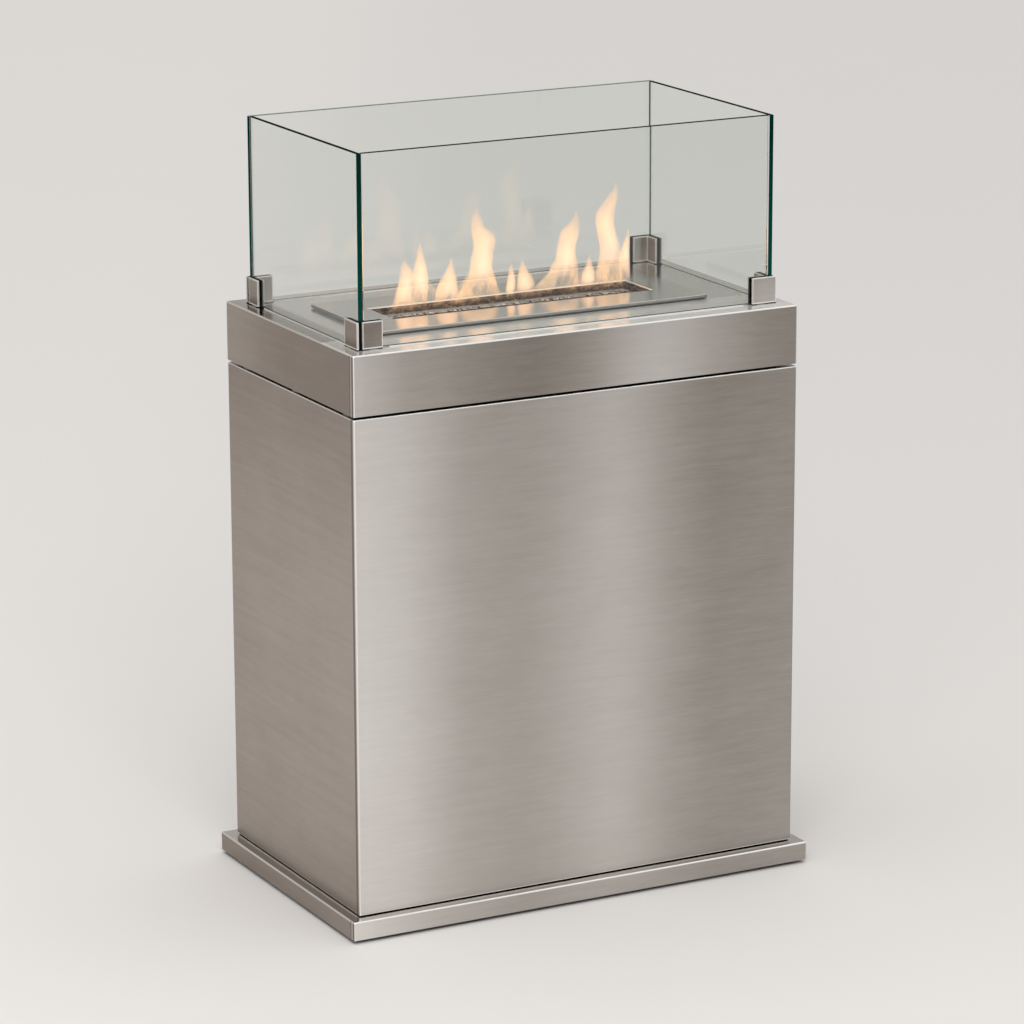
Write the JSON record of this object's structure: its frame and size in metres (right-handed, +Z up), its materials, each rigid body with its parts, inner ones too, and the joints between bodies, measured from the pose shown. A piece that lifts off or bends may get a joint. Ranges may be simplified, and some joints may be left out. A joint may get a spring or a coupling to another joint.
{
  "type": "bioethanol fireplace",
  "caption": "Free-standing slim cabinet in brushed steel on a low plinth, with a slotted bioethanol burner on top inside a guard of clear glass panes held in corner clips.",
  "frame": {"origin": "on the floor, under the middle of the plinth", "axes": "+X to the right as seen from the front, +Y from the front to the rear panel, +Z up"},
  "size_m": [0.682, 0.417, 1.022],
  "materials": {
    "brushed_steel": "satin stainless steel, brushed along the horizontal",
    "brushed_steel_clip": "satin stainless steel clips with bright broken edges",
    "heat_tinted_steel": "stainless steel tinted straw to brown by the flame",
    "plain_steel": "plain mill-finish sheet and zinc-plated fasteners, inside",
    "glass": "6 mm clear toughened float glass with dark green edges",
    "rubber": "black rubber",
    "dark_seal": "black heat-proof seal",
    "ceramic_wool": "rough white-grey ceramic wool with dark specks",
    "flame": "pale orange see-through flame that gives light"
  },
  "bodies": {
    "cabinet": {"plinth_shell": "brushed_steel", "cabinet_shell": "brushed_steel", "rear_panel": "brushed_steel", "housing_shell": "brushed_steel", "clip_plates_front_left": "brushed_steel_clip", "clip_plates_front_right": "brushed_steel_clip", "clip_plates_rear_left": "brushed_steel_clip", "clip_plates_rear_right": "brushed_steel_clip", "clip_bracket_front_left": "brushed_steel_clip", "clip_bracket_front_right": "brushed_steel_clip", "clip_bracket_rear_left": "brushed_steel_clip", "clip_bracket_rear_right": "brushed_steel_clip", "front_stiffener": "plain_steel", "rear_panel_screws": "plain_steel", "housing_base": "plain_steel", "heat_shield": "plain_steel", "gap_spacers": "plain_steel", "housing_bolts": "plain_steel", "housing_nuts": "plain_steel", "plinth_bolts": "plain_steel", "plinth_nuts": "plain_steel", "foot_bolts": "plain_steel", "foot_nuts": "plain_steel", "foot_washers": "plain_steel", "clip_rubber_front_left": "rubber", "clip_rubber_front_right": "rubber", "clip_rubber_rear_left": "rubber", "clip_rubber_rear_right": "rubber", "foot_front_left": "rubber", "foot_front_right": "rubber", "foot_rear_left": "rubber", "foot_rear_right": "rubber", "base_joint": "dark_seal"},
    "burner": {"burner_plate": "brushed_steel", "burner_seal": "dark_seal", "burner_throat": "heat_tinted_steel", "tank_deck": "heat_tinted_steel", "burner_tank": "plain_steel", "wool_cage": "plain_steel", "ceramic_wool": "ceramic_wool", "shutter_guides": "heat_tinted_steel"},
    "shutter": {"shutter": "heat_tinted_steel", "shutter_lip": "heat_tinted_steel"},
    "pane_front": {"glass_front": "glass"},
    "pane_rear": {"glass_rear": "glass"},
    "pane_left": {"glass_left": "glass"},
    "pane_right": {"glass_right": "glass"}
  },
  "joints": [
    {"name": "burner_lift", "type": "slide", "parent": "cabinet", "child": "burner", "axis": [0, 0, 1], "range_m": [0, 0.33]},
    {"name": "shutter_slide", "type": "slide", "parent": "burner", "child": "shutter", "axis": [0, 1, 0], "range_m": [0, 0.039]},
    {"name": "pane_front_lift", "type": "slide", "parent": "cabinet", "child": "pane_front", "axis": [0, 0, 1], "range_m": [0, 0.26]},
    {"name": "pane_rear_lift", "type": "slide", "parent": "cabinet", "child": "pane_rear", "axis": [0, 0, 1], "range_m": [0, 0.26]},
    {"name": "pane_left_lift", "type": "slide", "parent": "cabinet", "child": "pane_left", "axis": [0, 0, 1], "range_m": [0, 0.26]},
    {"name": "pane_right_lift", "type": "slide", "parent": "cabinet", "child": "pane_right", "axis": [0, 0, 1], "range_m": [0, 0.26]}
  ]
}
